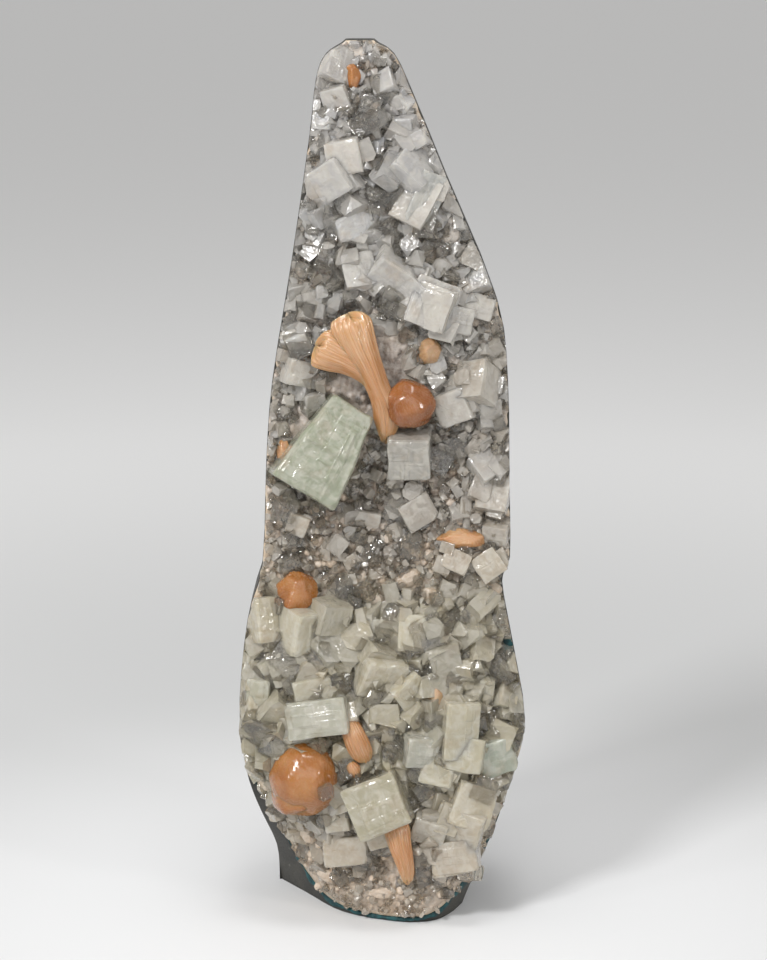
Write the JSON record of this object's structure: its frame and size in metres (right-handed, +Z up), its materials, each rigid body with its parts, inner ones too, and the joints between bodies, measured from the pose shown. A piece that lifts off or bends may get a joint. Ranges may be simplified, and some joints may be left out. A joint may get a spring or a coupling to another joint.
{
  "type": "apophyllite cluster on basalt",
  "caption": "Tall sawn slice of a basalt vug wall, its front lined with blocky pale crystals and peach sheaves, standing on a flat sawn base.",
  "frame": {"origin": "on the flat sawn base, under the middle of the crystal face, with the base at z = 0", "axes": "+Z up along the specimen's height, the crystal face towards -Y, +X to the right seen from the front"},
  "size_m": [0.131, 0.0963, 0.4007],
  "materials": {
    "basalt": "matt sawn rock",
    "chalcedony_crust": "drusy, glassy to waxy",
    "apophyllite": "cloudy glassy crystal",
    "stilbite": "silky to pearly"
  },
  "bodies": {
    "root": {"basalt_matrix": "basalt", "crystal_crust": "chalcedony_crust", "stilbite_bow_tie": "stilbite", "stilbite_ball_large": "stilbite", "stilbite_sheaf_centre": "stilbite", "stilbite_sheaf_front": "stilbite", "stilbite_ball_left": "stilbite", "stilbite_bud_top": "stilbite", "stilbite_bud_upper": "stilbite", "stilbite_blade_right": "stilbite", "stilbite_flake": "stilbite", "stilbite_wedge": "stilbite", "apophyllite_column_right": "apophyllite", "apophyllite_plate_lower_right": "apophyllite", "apophyllite_block_upper": "apophyllite", "apophyllite_cube_front": "apophyllite", "apophyllite_block_large": "apophyllite", "apophyllite_prism_small": "apophyllite", "apophyllite_block_right": "apophyllite", "apophyllite_block_left": "apophyllite", "apophyllite_block_mid": "apophyllite", "apophyllite_block_tall_left": "apophyllite", "apophyllite_block_high_right": "apophyllite"}
  },
  "joints": []
}
